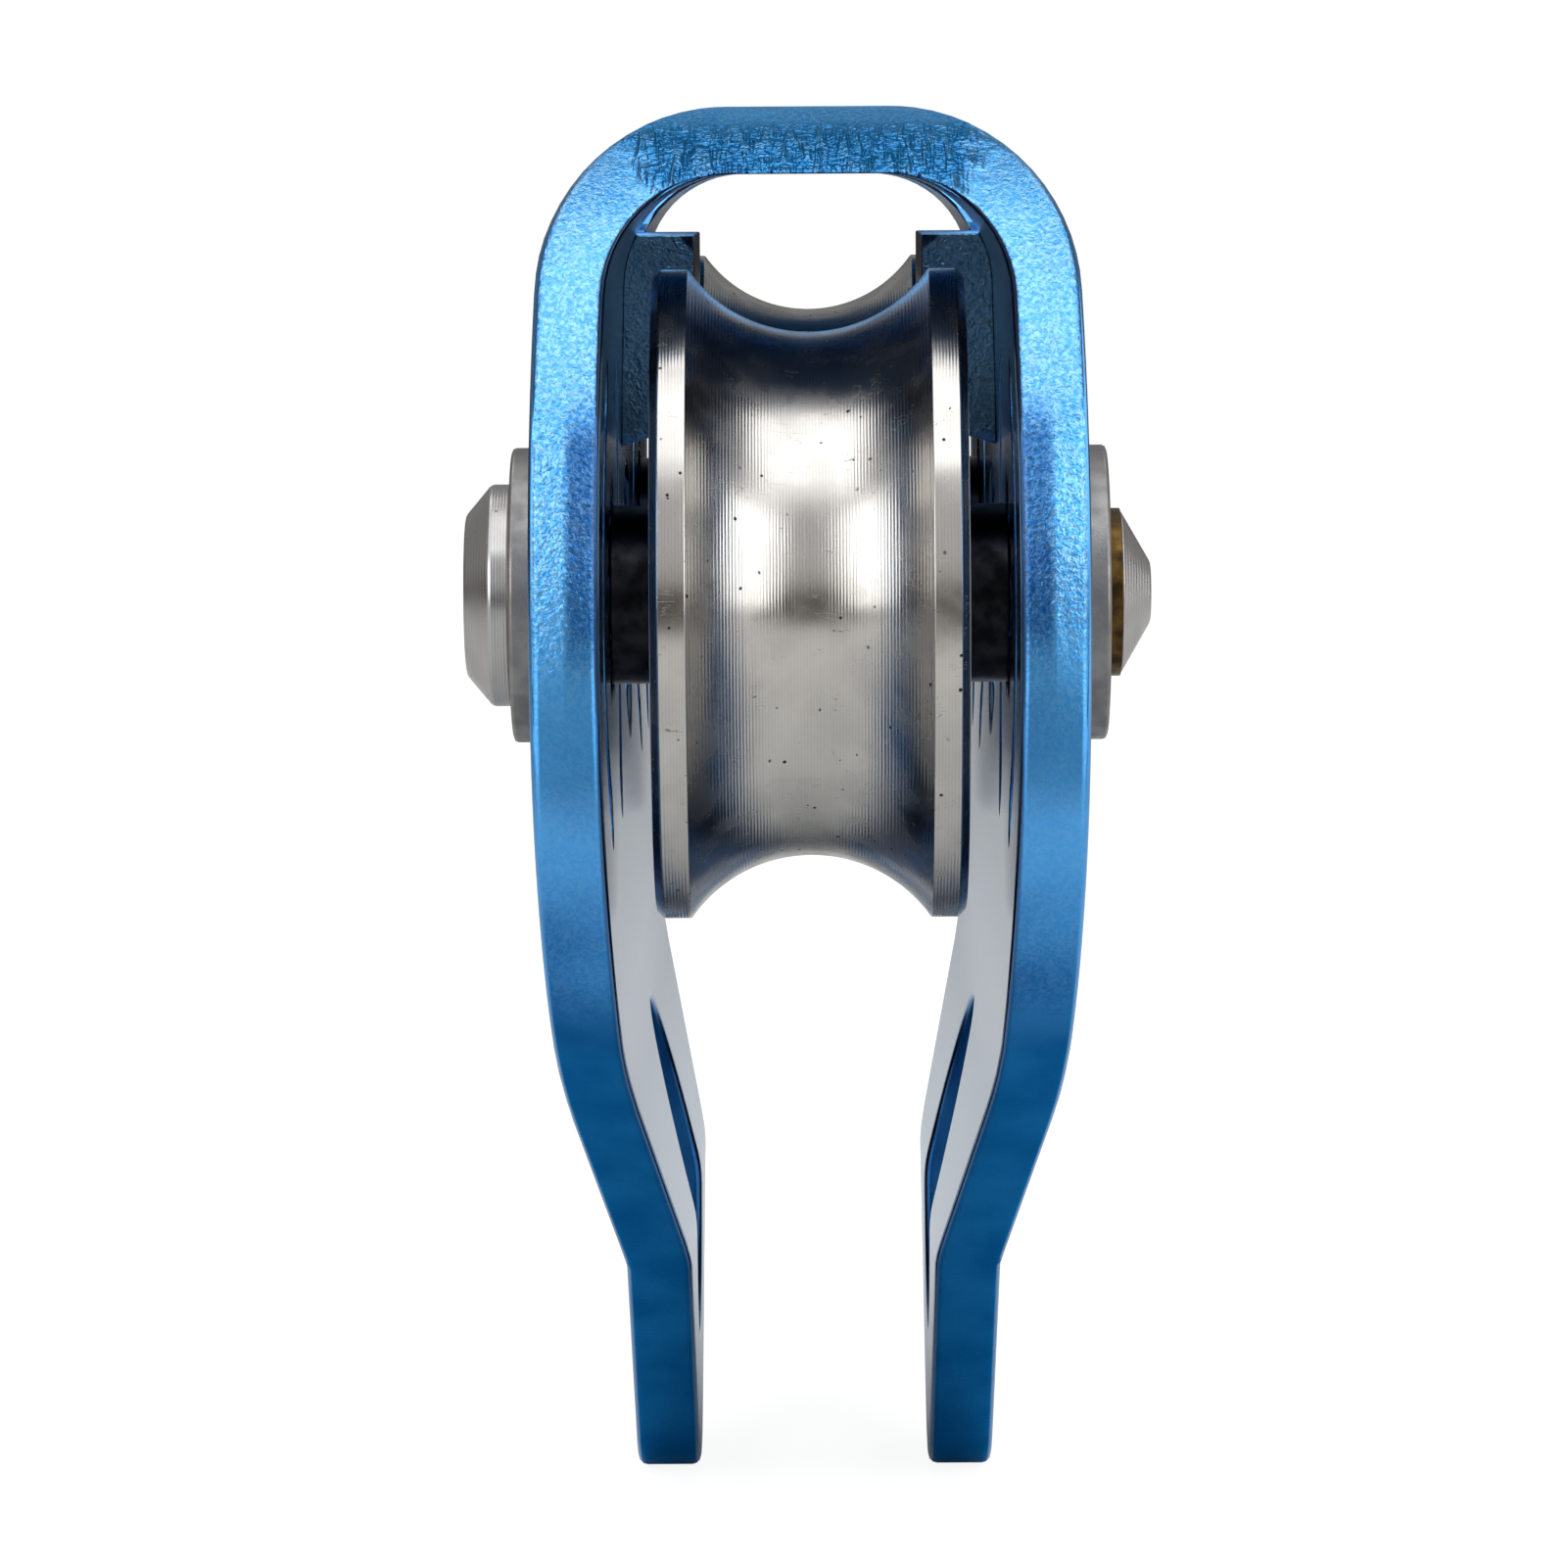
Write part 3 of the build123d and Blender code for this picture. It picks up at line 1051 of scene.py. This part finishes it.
@dataclass
class Studio:
    """The pale floor, the lamps and the surroundings, in metres."""

    target: Vector
    floor_height: float
    boxes: list[Softbox] = field(default_factory=lambda: [
        Softbox("overhead", 0.0, 72.0, 0.60, (0.80, 0.60), 1.85),
        Softbox("left_front", -44.0, 17.0, 0.60, (0.40, 0.38), 2.6),
        Softbox("right_front", 44.0, 17.0, 0.60, (0.40, 0.38), 2.8),
        Softbox("right_side", 104.0, 10.0, 0.60, (0.36, 0.40), 1.2),
        Softbox("left_rear", -145.0, 58.0, 0.60, (0.22, 0.22), 2.4),
        Softbox("right_rear", 145.0, 58.0, 0.60, (0.22, 0.22), 2.4),
    ])
    floor_low: tuple[float, float] = (-1.0, -0.37)
    floor_high: tuple[float, float] = (1.0, 1.2)
    floor_colour: Colour = (0.62, 0.62, 0.61)
    floor_glow: float = 1.5
    floor_glow_share: float = 0.6
    rear: float = 0.45
    rear_turn: Range = (0.45, -0.35)
    room: tuple[tuple[float, Colour], ...] = (
        (0.00, (0.30, 0.30, 0.30)),
        (0.37, (0.08, 0.06, 0.05)),
        (0.54, (0.08, 0.06, 0.05)),
        (0.56, (0.60, 0.59, 0.58)),
        (0.65, (0.70, 0.70, 0.70)),
        (1.00, (0.55, 0.55, 0.57)),
    )

    def build(self) -> None:
        """Set the whole studio up."""
        self._floor()
        self._world()
        for box in self.boxes:
            self._lamp(box)
        Viewpoint().build()
        bpy.context.scene.view_settings.view_transform = "Standard"
        log.info("studio set")

    def _floor(self) -> None:
        """A pale floor that the camera sees as white apart from its shadow."""
        shape = bmesh.new()
        (left, near), (right, far) = self.floor_low, self.floor_high
        corners = [(left, near), (right, near), (right, far), (left, far)]
        shape.faces.new([shape.verts.new((x, y, self.floor_height)) for x, y in corners])
        floor = mesh_piece(shape, "floor")
        graph = Graph.of_material("pale_floor")
        lit = graph.node("ShaderNodeBsdfDiffuse", {}, {"Color": (*self.floor_colour, 1.0)})
        white = graph.node("ShaderNodeEmission", {}, {"Color": WHITE, "Strength": self.floor_glow})
        seen = graph.node("ShaderNodeLightPath", {}, {}, "Is Camera Ray")
        mixed = graph.node("ShaderNodeMixShader", {}, {0: seen * self.floor_glow_share, 1: lit, 2: white})
        graph.finish(mixed, "ShaderNodeOutputMaterial")
        floor.data.materials.append(graph.owner)

    def _world(self) -> None:
        """White to the camera, and a soft grey room to the metal, darker at eye level."""
        world = bpy.data.worlds.new("studio")
        bpy.context.scene.world = world
        graph = Graph(world)
        direction = graph.node("ShaderNodeTexCoord", {}, {}, "Generated")
        height = graph.node("ShaderNodeSeparateXYZ", {}, {0: direction}, "Z")
        ahead = graph.node("ShaderNodeSeparateXYZ", {}, {0: direction}, "Y").between(*self.rear_turn)
        tone = graph.node("ShaderNodeValToRGB", {"stops": self.room}, {0: height * 0.5 + 0.5})
        inputs = {"Color": tone, "Strength": ahead * (1.0 - self.rear) + self.rear}
        room = graph.node("ShaderNodeBackground", {}, inputs)
        white = graph.node("ShaderNodeBackground", {}, {"Color": WHITE})
        seen = graph.node("ShaderNodeLightPath", {}, {}, "Is Camera Ray")
        mixed = graph.node("ShaderNodeMixShader", {}, {0: seen, 1: room, 2: white})
        graph.finish(mixed, "ShaderNodeOutputWorld")

    def _lamp(self, box: Softbox) -> None:
        """Hang one softbox.

        Args:
            box: The softbox.
        """
        lamp = bpy.data.lights.new(box.name, "AREA")
        lamp.shape = "RECTANGLE"
        lamp.size, lamp.size_y = box.size
        lamp.energy = box.radiance * math.pi * box.size[0] * box.size[1]
        around = math.radians(box.azimuth)
        up = math.radians(box.elevation)
        level = math.cos(up)
        direction = Vector((math.sin(around) * level, -math.cos(around) * level, math.sin(up)))
        hung = bpy.data.objects.new(box.name, lamp)
        hung.location = self.target + direction * box.distance
        hung.rotation_euler = direction.to_track_quat("Z", "Y").to_euler()
        bpy.context.collection.objects.link(hung)


def main() -> None:
    """Dress every piece in order, then set the studio."""
    logging.basicConfig(level=logging.INFO, format="%(message)s")
    low, high = node_box("front_axle")
    middle = (low + high) / 2
    finishes = Finishes(middle.z)
    Body((abs(middle.y), middle.z)).build(finishes)
    for end in End:
        Sheave(end).build(finishes)
        AxleSet(end).build(finishes)
        BearingPair(end).dress(finishes)
    body_low, body_high = (Vector(corner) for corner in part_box("body"))
    Studio((body_low + body_high) / 2, body_low.z).build()


if __name__ == "__main__":
    main()
